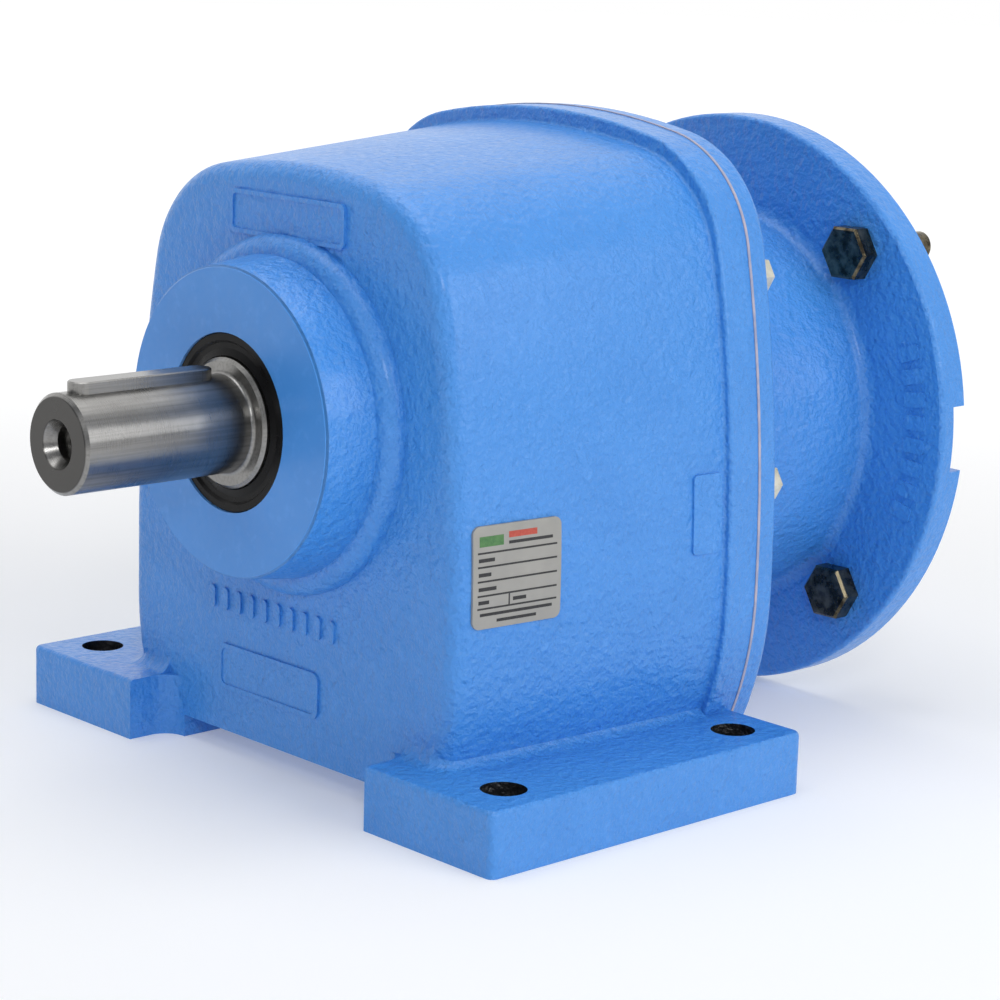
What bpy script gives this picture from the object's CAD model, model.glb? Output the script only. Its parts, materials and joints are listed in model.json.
import json
import math
import bmesh
import bpy
from mathutils import Matrix, Vector
from mathutils.bvhtree import BVHTree


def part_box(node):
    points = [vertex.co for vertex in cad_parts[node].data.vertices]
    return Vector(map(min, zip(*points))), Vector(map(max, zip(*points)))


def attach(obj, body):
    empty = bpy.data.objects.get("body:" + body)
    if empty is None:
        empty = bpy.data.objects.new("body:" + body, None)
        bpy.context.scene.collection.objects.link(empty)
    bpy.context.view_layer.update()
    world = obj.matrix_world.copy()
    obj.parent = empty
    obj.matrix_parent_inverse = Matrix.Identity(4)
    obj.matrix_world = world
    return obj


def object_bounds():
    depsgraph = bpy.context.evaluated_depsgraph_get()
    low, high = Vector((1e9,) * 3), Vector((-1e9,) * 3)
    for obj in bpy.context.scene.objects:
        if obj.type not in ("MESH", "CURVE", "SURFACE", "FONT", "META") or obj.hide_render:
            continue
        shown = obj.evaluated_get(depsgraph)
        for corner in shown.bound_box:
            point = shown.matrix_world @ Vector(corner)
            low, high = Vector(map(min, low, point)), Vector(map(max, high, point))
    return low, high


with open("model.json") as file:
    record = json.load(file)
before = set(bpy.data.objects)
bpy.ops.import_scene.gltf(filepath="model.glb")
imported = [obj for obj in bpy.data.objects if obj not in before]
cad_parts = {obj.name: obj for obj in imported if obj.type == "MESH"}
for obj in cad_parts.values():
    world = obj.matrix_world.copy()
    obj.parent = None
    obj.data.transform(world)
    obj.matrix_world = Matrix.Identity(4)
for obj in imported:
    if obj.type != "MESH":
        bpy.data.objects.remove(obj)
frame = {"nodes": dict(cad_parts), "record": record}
cad_low, cad_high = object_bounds()
MM = 0.001


# ---- Small helpers for shaders ----

class Shader:
    """A material with one Principled shader, and short calls that add nodes to it."""

    def __init__(self, name, **values):
        self.material = bpy.data.materials.new(name)
        self.material.use_nodes = True
        self.tree = self.material.node_tree
        self.surface = self.tree.nodes["Principled BSDF"]
        for label, value in values.items():
            self.surface.inputs[label.replace("_", " ")].default_value = value
        self.place = self.add("ShaderNodeTexCoord").outputs["Object"]

    def add(self, kind, inputs=None, **settings):
        node = self.tree.nodes.new(kind)
        for name, value in settings.items():
            setattr(node, name, value)
        for name, value in (inputs or {}).items():
            self.set(node.inputs[name], value)
        return node

    def set(self, socket, value):
        if isinstance(value, bpy.types.NodeSocket):
            self.tree.links.new(value, socket)
        else:
            socket.default_value = value

    def drive(self, label, value):
        self.set(self.surface.inputs[label], value)

    def math(self, operation, first, second=0.0):
        node = self.add("ShaderNodeMath", operation=operation)
        self.set(node.inputs[0], first)
        self.set(node.inputs[1], second)
        return node.outputs[0]

    def stretch(self, scale):
        """The object coordinates, scaled by three numbers."""
        return self.add("ShaderNodeMapping", {"Vector": self.place, "Scale": scale}).outputs[0]

    def noise(self, scale, detail=2.0, roughness=0.5, place=None):
        inputs = {
            "Vector": place or self.place,
            "Scale": scale,
            "Detail": detail,
            "Roughness": roughness,
        }
        return self.add("ShaderNodeTexNoise", inputs).outputs["Fac"]

    def spread(self, value, low, high, out_low=0.0, out_high=1.0):
        inputs = {"Value": value, "From Min": low, "From Max": high, "To Min": out_low, "To Max": out_high}
        return self.add("ShaderNodeMapRange", inputs).outputs["Result"]

    def mix(self, share, first, second):
        node = self.add("ShaderNodeMix", data_type="RGBA")
        self.set(node.inputs["Factor"], share)
        self.set(node.inputs["A"], first)
        self.set(node.inputs["B"], second)
        return node.outputs["Result"]

    def axes(self):
        parts = self.add("ShaderNodeSeparateXYZ", {"Vector": self.place})
        return parts.outputs["X"], parts.outputs["Y"], parts.outputs["Z"]

    def bump(self, height, depth, strength=1.0):
        inputs = {"Height": height, "Distance": depth, "Strength": strength}
        self.drive("Normal", self.add("ShaderNodeBump", inputs).outputs["Normal"])

    def sum(self, *terms):
        """Add up (value, weight) pairs."""
        total = 0.0
        for value, weight in terms:
            total = self.math("ADD", self.math("MULTIPLY", value, weight), total)
        return total

    def done(self):
        return self.material


# ---- Materials ----

BOSS_FACE_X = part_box("gear_case")[0].x
SHAFT_END_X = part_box("output_shaft")[0].x
FOOT_HOLE_X = 49 * MM
FOOT_HOLE_Y = 100 * MM
FOOT_HOLE_WALL_RADIUS = 7.1 * MM
FOOT_HOLE_WALL_TOP = 19.9 * MM
ENAMEL_COAT = 0.3

def blue_enamel():
    """Sky-blue enamel over a sand-cast skin, with bare dark walls in the foot holes."""
    shader = Shader("blue_enamel", Roughness=0.4, Coat_Weight=ENAMEL_COAT, Coat_Roughness=0.2)
    grain = shader.noise(460.0, 2.0, 0.5)
    pits = shader.noise(260.0, 3.0, 0.6)
    waves = shader.noise(45.0, 2.0, 0.5)
    x, y, z = shader.axes()
    cast = shader.spread(x, BOSS_FACE_X + 0.2 * MM, BOSS_FACE_X + 0.9 * MM)
    skin = shader.math("MULTIPLY", shader.sum((grain, 0.6), (pits, 0.8)), cast)
    shader.bump(shader.sum((skin, 1.0), (waves, 0.6)), 1.5 * MM, 1.0)
    tint = shader.mix(shader.spread(waves, 0.3, 0.7), (0.046, 0.255, 0.70, 1), (0.054, 0.275, 0.735, 1))
    worn = shader.mix(shader.spread(pits, 0.55, 0.85), tint, (0.075, 0.31, 0.79, 1))
    along = shader.math("SUBTRACT", shader.math("ABSOLUTE", x), FOOT_HOLE_X)
    across = shader.math("SUBTRACT", shader.math("ABSOLUTE", y), FOOT_HOLE_Y)
    along_square = shader.math("POWER", along, 2)
    across_square = shader.math("POWER", across, 2)
    radius = shader.math("SQRT", shader.sum((along_square, 1), (across_square, 1)))
    near_axis = shader.math("LESS_THAN", radius, FOOT_HOLE_WALL_RADIUS)
    below_top = shader.math("LESS_THAN", z, FOOT_HOLE_WALL_TOP)
    in_hole = shader.math("MULTIPLY", near_axis, below_top)
    shader.drive("Base Color", shader.mix(in_hole, worn, (0.006, 0.007, 0.009, 1)))
    missing_coat = shader.math("MULTIPLY", in_hole, ENAMEL_COAT)
    shader.drive("Coat Weight", shader.math("SUBTRACT", ENAMEL_COAT, missing_coat))
    shader.drive("Roughness", shader.spread(grain, 0.3, 0.7, 0.34, 0.5))
    return shader.done()


def ground_steel():
    """Turned and ground shaft steel: fine rings round X, a film of oil, and a darker turned end face."""
    shader = Shader("ground_steel", Metallic=1.0, Roughness=0.24)
    rings = shader.noise(1.0, 3.0, 0.7, shader.stretch((7000.0, 60.0, 60.0)))
    streaks = shader.noise(1.0, 3.0, 0.6, shader.stretch((12.0, 900.0, 900.0)))
    film = shader.noise(70.0, 3.0, 0.6)
    shader.bump(shader.sum((rings, 1.0), (streaks, 0.4)), 0.012 * MM, 0.6)
    metal = shader.mix(film, (0.22, 0.216, 0.208, 1), (0.34, 0.335, 0.325, 1))
    metal = shader.mix(shader.spread(streaks, 0.45, 0.7, 0, 0.6), metal, (0.17, 0.165, 0.16, 1))
    x = shader.axes()[0]
    end = shader.spread(x, SHAFT_END_X + 0.1 * MM, SHAFT_END_X + 0.4 * MM, 1, 0)
    shader.drive("Base Color", shader.mix(end, metal, (0.085, 0.083, 0.08, 1)))
    shader.drive("Roughness", shader.sum((rings, 0.14), (film, 0.12), (1.0, 0.16)))
    return shader.done()


def hardened_steel():
    """Case-hardened gear steel, a little darker and bluer than the shaft."""
    shader = Shader("hardened_steel", Metallic=1.0, Roughness=0.3)
    marks = shader.noise(220.0, 4.0, 0.6)
    shader.bump(marks, 0.02 * MM, 0.5)
    shader.drive("Base Color", shader.mix(marks, (0.26, 0.265, 0.28, 1), (0.42, 0.42, 0.43, 1)))
    shader.drive("Roughness", shader.spread(marks, 0.3, 0.7, 0.24, 0.4))
    return shader.done()


def polished_steel():
    """Bearing steel, polished, with faint handling marks."""
    shader = Shader("polished_steel", Metallic=1.0, Roughness=0.12)
    marks = shader.noise(160.0, 4.0, 0.6)
    shader.drive("Base Color", shader.mix(marks, (0.60, 0.60, 0.62, 1), (0.76, 0.76, 0.78, 1)))
    shader.drive("Roughness", shader.spread(marks, 0.3, 0.7, 0.08, 0.2))
    shader.bump(marks, 0.006 * MM, 0.5)
    return shader.done()


def spring_steel():
    """Phosphated spring steel: near black, with a dry sheen."""
    shader = Shader("spring_steel", Metallic=0.8, Roughness=0.5)
    grain = shader.noise(900.0, 3.0, 0.6)
    shader.drive("Base Color", shader.mix(grain, (0.035, 0.036, 0.04, 1), (0.09, 0.09, 0.095, 1)))
    shader.drive("Roughness", shader.spread(grain, 0.3, 0.7, 0.42, 0.6))
    shader.bump(grain, 0.02 * MM, 0.5)
    return shader.done()


def brass():
    """Machined cage brass."""
    shader = Shader("cage_brass", Metallic=1.0, Roughness=0.25)
    marks = shader.noise(300.0, 3.0, 0.6)
    shader.drive("Base Color", shader.mix(marks, (0.55, 0.38, 0.13, 1), (0.78, 0.58, 0.25, 1)))
    shader.drive("Roughness", shader.spread(marks, 0.3, 0.7, 0.18, 0.34))
    shader.bump(marks, 0.015 * MM, 0.5)
    return shader.done()


def copper():
    """Soft copper sealing washers, dulled by handling."""
    shader = Shader("washer_copper", Metallic=1.0, Roughness=0.35)
    marks = shader.noise(500.0, 3.0, 0.6)
    shader.drive("Base Color", shader.mix(marks, (0.50, 0.22, 0.12, 1), (0.76, 0.40, 0.26, 1)))
    shader.drive("Roughness", shader.spread(marks, 0.3, 0.7, 0.28, 0.5))
    shader.bump(marks, 0.02 * MM, 0.5)
    return shader.done()


def black_rubber():
    """Oiled nitrile rubber of the lip seals."""
    shader = Shader("black_rubber", Roughness=0.4, Specular_IOR_Level=0.15)
    grain = shader.noise(1200.0, 2.0, 0.5)
    film = shader.noise(120.0, 2.0, 0.5)
    shader.drive("Base Color", shader.mix(film, (0.0025, 0.0025, 0.003, 1), (0.006, 0.006, 0.0065, 1)))
    shader.drive("Roughness", shader.spread(film, 0.3, 0.7, 0.2, 0.42))
    shader.bump(grain, 0.02 * MM, 0.4)
    return shader.done()


def zinc(name, dark, light, rough_low, rough_high):
    """Zinc plate over steel, with passivation that varies in tint."""
    shader = Shader(name, Metallic=1.0, Roughness=rough_low)
    clouds = shader.noise(260.0, 3.0, 0.6)
    shader.drive("Base Color", shader.mix(shader.spread(clouds, 0.35, 0.65), dark, light))
    shader.drive("Roughness", shader.spread(clouds, 0.3, 0.7, rough_low, rough_high))
    shader.bump(clouds, 0.03 * MM, 0.6)
    return shader.done()


def gasket_paper():
    """Grey-pink sealing paper with squeezed-out sealant, soft and uneven."""
    shader = Shader("gasket_paper", Roughness=0.6)
    blotches = shader.noise(180.0, 3.0, 0.6)
    sealant = shader.spread(blotches, 0.35, 0.65)
    shader.drive("Base Color", shader.mix(sealant, (0.30, 0.32, 0.46, 1), (0.50, 0.44, 0.50, 1)))
    shader.drive("Roughness", shader.spread(blotches, 0.3, 0.7, 0.45, 0.7))
    shader.bump(blotches, 0.15 * MM, 0.8)
    return shader.done()


def plate_metal():
    """Satin nameplate metal; its printed rules are pieces of their own."""
    shader = Shader("plate_metal", Metallic=0.35, Roughness=0.42)
    brushing = shader.noise(1.0, 3.0, 0.6, shader.stretch((60.0, 60.0, 4000.0)))
    stains = shader.noise(90.0, 3.0, 0.6)
    shader.drive("Base Color", shader.mix(stains, (0.30, 0.295, 0.275, 1), (0.40, 0.39, 0.36, 1)))
    shader.drive("Roughness", shader.spread(brushing, 0.3, 0.7, 0.32, 0.5))
    shader.bump(brushing, 0.01 * MM, 0.5)
    return shader.done()


MATERIALS = {
    "blue_paint": blue_enamel(),
    "gasket": gasket_paper(),
    "zinc_screws": zinc("pale_zinc", (0.62, 0.60, 0.48, 1), (0.82, 0.80, 0.70, 1), 0.25, 0.4),
    "bolt_steel": zinc("dark_zinc", (0.035, 0.03, 0.022, 1), (0.20, 0.17, 0.11, 1), 0.2, 0.38),
    "plug_steel": zinc("bright_zinc", (0.50, 0.50, 0.48, 1), (0.68, 0.68, 0.66, 1), 0.22, 0.36),
    "copper": copper(),
    "nameplate": plate_metal(),
    "seal_rubber": black_rubber(),
    "ground_steel": ground_steel(),
    "gear_steel": hardened_steel(),
    "spring_steel": spring_steel(),
    "bearing_steel": polished_steel(),
    "brass_cage": brass(),
}


def paint_cad_nodes():
    """Give each CAD node the material of its record slot, and smooth shading up to its sharp edges."""
    for subpart in frame["record"]["subparts"]:
        node = frame["nodes"][subpart["node"]]
        material = MATERIALS[subpart["material_slot"]]
        if not node.material_slots:
            node.data.materials.append(material)
        for slot in node.material_slots:
            slot.material = material


paint_cad_nodes()


# ---- Print on the nameplate: rules, blank fields and plain colour blocks ----

PRINT_LIFT = 0.04 * MM
PATCH_COLUMNS = 6
PATCH_ROWS = 2
RULE_LEVELS = (0.74, 0.605, 0.465, 0.325, 0.20)
RULE_HALF = 0.009
LABELS = (
    # left, right, level
    (0.06, 0.24, 0.67),
    (0.06, 0.20, 0.53),
    (0.06, 0.26, 0.39),
    (0.06, 0.18, 0.26),
    (0.45, 0.60, 0.26),
)
LABEL_HALF = 0.018


def flat_ink(name, dark, light):
    shader = Shader(name, Roughness=0.55)
    wear = shader.noise(900.0, 3.0, 0.6)
    shader.drive("Base Color", shader.mix(shader.spread(wear, 0.3, 0.7), dark, light))
    shader.bump(wear, 0.01 * MM, 0.4)
    return shader.done()


class Plate:
    """The nameplate's outer surface, for thin print; places are shares of its length and height."""

    def __init__(self):
        node = frame["nodes"]["nameplate"]
        made = bmesh.new()
        made.from_mesh(node.data)
        self.tree = BVHTree.FromBMesh(made)
        made.free()
        self.low, self.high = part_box("nameplate")

    def surface(self, across, up):
        """The point on the plate at a place across it and up it."""
        x = self.low.x + across * (self.high.x - self.low.x)
        z = self.low.z + up * (self.high.z - self.low.z)
        return self.tree.ray_cast(Vector((x, self.low.y - 50 * MM, z)), Vector((0, 1, 0)))[0]

    def patch(self, name, left, right, bottom, top, ink):
        """A thin closed sheet over a rectangle of the plate."""
        columns, rows = PATCH_COLUMNS, PATCH_ROWS
        made = bmesh.new()
        layers = []
        for lift in (PRINT_LIFT, -PRINT_LIFT):
            layer = []
            for row in range(rows + 1):
                for column in range(columns + 1):
                    across = left + (right - left) * column / columns
                    up = bottom + (top - bottom) * row / rows
                    point = self.surface(across, up)
                    layer.append(made.verts.new(point - Vector((0, lift, 0))))
            layers.append(layer)
        width = columns + 1
        for row in range(rows):
            for column in range(columns):
                first = row * width + column
                corners = (first, first + 1, first + width + 1, first + width)
                made.faces.new([layers[0][index] for index in corners])
                made.faces.new([layers[1][index] for index in reversed(corners)])
        rim = list(range(width))
        rim += [row * width + columns for row in range(1, rows + 1)]
        rim += [rows * width + column for column in range(columns - 1, -1, -1)]
        rim += [row * width for row in range(rows - 1, 0, -1)]
        for here, there in zip(rim, rim[1:] + rim[:1]):
            made.faces.new((layers[0][there], layers[0][here], layers[1][here], layers[1][there]))
        bmesh.ops.recalc_face_normals(made, faces=made.faces)
        mesh = bpy.data.meshes.new(name)
        made.to_mesh(mesh)
        made.free()
        mesh.materials.append(ink)
        piece = bpy.data.objects.new(name, mesh)
        bpy.context.scene.collection.objects.link(piece)
        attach(piece, "housing")


def print_nameplate():
    plate = Plate()
    black = flat_ink("black_ink", (0.012, 0.012, 0.014, 1), (0.03, 0.03, 0.032, 1))
    green = flat_ink("green_ink", (0.05, 0.16, 0.05, 1), (0.09, 0.22, 0.07, 1))
    red = flat_ink("red_ink", (0.42, 0.05, 0.03, 1), (0.5, 0.09, 0.06, 1))
    for index, level in enumerate(RULE_LEVELS):
        plate.patch(f"plate_rule_{index}", 0.05, 0.95, level - RULE_HALF, level + RULE_HALF, black)
    plate.patch("plate_divider", 0.40, 0.415, 0.20, 0.325, black)
    for index, (left, right, level) in enumerate(LABELS):
        plate.patch(f"plate_label_{index}", left, right, level - LABEL_HALF, level + LABEL_HALF, black)
    plate.patch("plate_line_upper", 0.08, 0.90, 0.125, 0.155, black)
    plate.patch("plate_line_lower", 0.27, 0.72, 0.055, 0.085, black)
    plate.patch("plate_block_green", 0.07, 0.34, 0.80, 0.90, green)
    plate.patch("plate_block_red", 0.40, 0.72, 0.86, 0.92, red)
    plate.patch("plate_block_black", 0.40, 0.90, 0.80, 0.83, black)


print_nameplate()


# ---- Floor, light and camera ----

def pale_floor():
    """A wide white floor that keeps its shadows near the object and turns pure white further out."""
    mesh = bpy.data.meshes.new("floor")
    made = bmesh.new()
    bmesh.ops.create_circle(made, cap_ends=True, segments=96, radius=6.0)
    made.to_mesh(mesh)
    made.free()
    floor = bpy.data.objects.new("floor", mesh)
    bpy.context.scene.collection.objects.link(floor)
    shader = Shader("floor_white", Roughness=0.7, Specular_IOR_Level=0.2)
    length = shader.add("ShaderNodeVectorMath", {"Vector": shader.place}, operation="LENGTH")
    distance = length.outputs["Value"]
    far = shader.spread(distance, 0.25, 0.75)
    speckle = shader.noise(3.0)
    near_colour = shader.mix(speckle, (0.80, 0.80, 0.80, 1), (0.82, 0.82, 0.82, 1))
    shader.drive("Base Color", shader.mix(far, near_colour, (0, 0, 0, 1)))
    shader.set(shader.surface.inputs["Emission Color"], (1, 1, 1, 1))
    shader.drive("Emission Strength", shader.spread(far, 0, 1, 0.22, 1.0))
    mesh.materials.append(shader.done())


def area_light(name, place, target, size, power):
    """A white rectangular lamp that faces a target; power is in watts."""
    light = bpy.data.lights.new(name, "AREA")
    light.shape = "RECTANGLE"
    light.size, light.size_y = size
    light.energy = power
    lamp = bpy.data.objects.new(name, light)
    lamp.location = place
    lamp.rotation_euler = (Vector(target) - Vector(place)).to_track_quat("-Z", "Y").to_euler()
    bpy.context.scene.collection.objects.link(lamp)


def studio_world():
    """White to the camera and dim to diffuse light.

    Reflections see a bright backdrop behind the object and a dim room in front of it.
    """
    world = bpy.data.worlds.new("studio")
    world.use_nodes = True
    bpy.context.scene.world = world
    tree = world.node_tree
    tree.nodes.clear()

    def backdrop(colour, strength=1.0):
        node = tree.nodes.new("ShaderNodeBackground")
        node.inputs["Color"].default_value = colour
        node.inputs["Strength"].default_value = strength
        return node

    def choose(share, first, second):
        node = tree.nodes.new("ShaderNodeMixShader")
        tree.links.new(share, node.inputs["Fac"])
        tree.links.new(first.outputs[0], node.inputs[1])
        tree.links.new(second.outputs[0], node.inputs[2])
        return node

    direction = tree.nodes.new("ShaderNodeTexCoord").outputs["Generated"]
    facing = tree.nodes.new("ShaderNodeVectorMath")
    facing.operation = "DOT_PRODUCT"
    facing.inputs[1].default_value = (0.66, 0.70, 0.25)
    tree.links.new(direction, facing.inputs[0])
    behind = tree.nodes.new("ShaderNodeMapRange")
    behind.inputs["From Min"].default_value = -0.1
    behind.inputs["From Max"].default_value = 0.6
    tree.links.new(facing.outputs["Value"], behind.inputs["Value"])
    path = tree.nodes.new("ShaderNodeLightPath")
    dim_room = backdrop((0.9, 0.94, 1, 1), 0.28)
    bright_backdrop = backdrop((1, 1, 1, 1), 1.15)
    reflected = choose(behind.outputs["Result"], dim_room, bright_backdrop)
    lit = choose(path.outputs["Is Glossy Ray"], backdrop((0.85, 0.9, 1, 1), 0.32), reflected)
    seen = choose(path.outputs["Is Camera Ray"], lit, backdrop((1, 1, 1, 1)))
    output = tree.nodes.new("ShaderNodeOutputWorld")
    tree.links.new(seen.outputs[0], output.inputs["Surface"])


def viewpoint(place, yaw, pitch, roll, lens):
    """A camera that looks along yaw (from +X towards +Y) and pitch, rolled clockwise seen from behind."""
    forward = Vector((math.cos(yaw) * math.cos(pitch), math.sin(yaw) * math.cos(pitch), math.sin(pitch)))
    level = Vector((math.sin(yaw), -math.cos(yaw), 0.0))
    upright = level.cross(forward)
    right = level * math.cos(roll) + upright * math.sin(roll)
    up = -level * math.sin(roll) + upright * math.cos(roll)
    camera = bpy.data.objects.new("camera", bpy.data.cameras.new("camera"))
    camera.matrix_world = Matrix((right, up, -forward)).transposed().to_4x4()
    camera.location = place
    camera.data.lens = lens
    camera.data.sensor_width = 36.0
    bpy.context.scene.collection.objects.link(camera)
    bpy.context.scene.camera = camera


pale_floor()
studio_world()
centre = (cad_low + cad_high) / 2
area_light("overhead", (0.0, 0.1, 1.4), centre, (1.2, 1.2), 9)
area_light("near_side", (0.35, -1.5, 0.7), centre, (1.1, 0.8), 10)
area_light("front_left", (-1.6, -0.2, 0.9), centre, (0.8, 0.8), 2)
area_light("near_camera", (-0.85, -1.1, 0.8), centre, (0.25, 0.25), 3.5)
viewpoint(
    place=(-0.5930, -0.6734, 0.2735),
    yaw=math.radians(46.76),
    pitch=math.radians(-12.0),
    roll=0.029,
    lens=102.6,
)
bpy.context.scene.view_settings.view_transform = "Standard"
